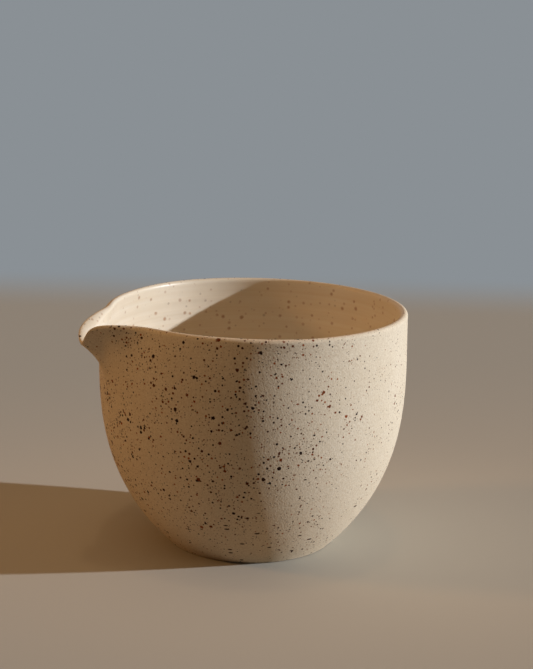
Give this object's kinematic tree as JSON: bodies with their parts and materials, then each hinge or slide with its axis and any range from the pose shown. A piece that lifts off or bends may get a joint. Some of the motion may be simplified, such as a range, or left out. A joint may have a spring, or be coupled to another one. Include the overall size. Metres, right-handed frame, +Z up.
{
  "type": "pouring bowl",
  "caption": "Thrown stoneware bowl with a round belly, small flat foot, rounded rim and a pouring lip pulled out of the rim; speckled bare clay outside, satin glaze inside",
  "frame": {"origin": "Middle of the flat foot, on the throwing axis, at table height", "axes": "+Z points up along the throwing axis; the pouring lip points along -X, so +X is the back of the bowl; +Y points to the right of a person who pours away from themselves; the lip lies in the XZ plane and its edge dips up to about 3 mm more on the +Y side"},
  "size_m": [0.1313, 0.1206, 0.094],
  "materials": {
    "stoneware": "bare matte clay with dark iron specks",
    "glaze": "clear satin glaze over speckled clay"
  },
  "bodies": {
    "root": {"stoneware_body": "stoneware", "glaze_liner": "glaze"}
  },
  "joints": []
}
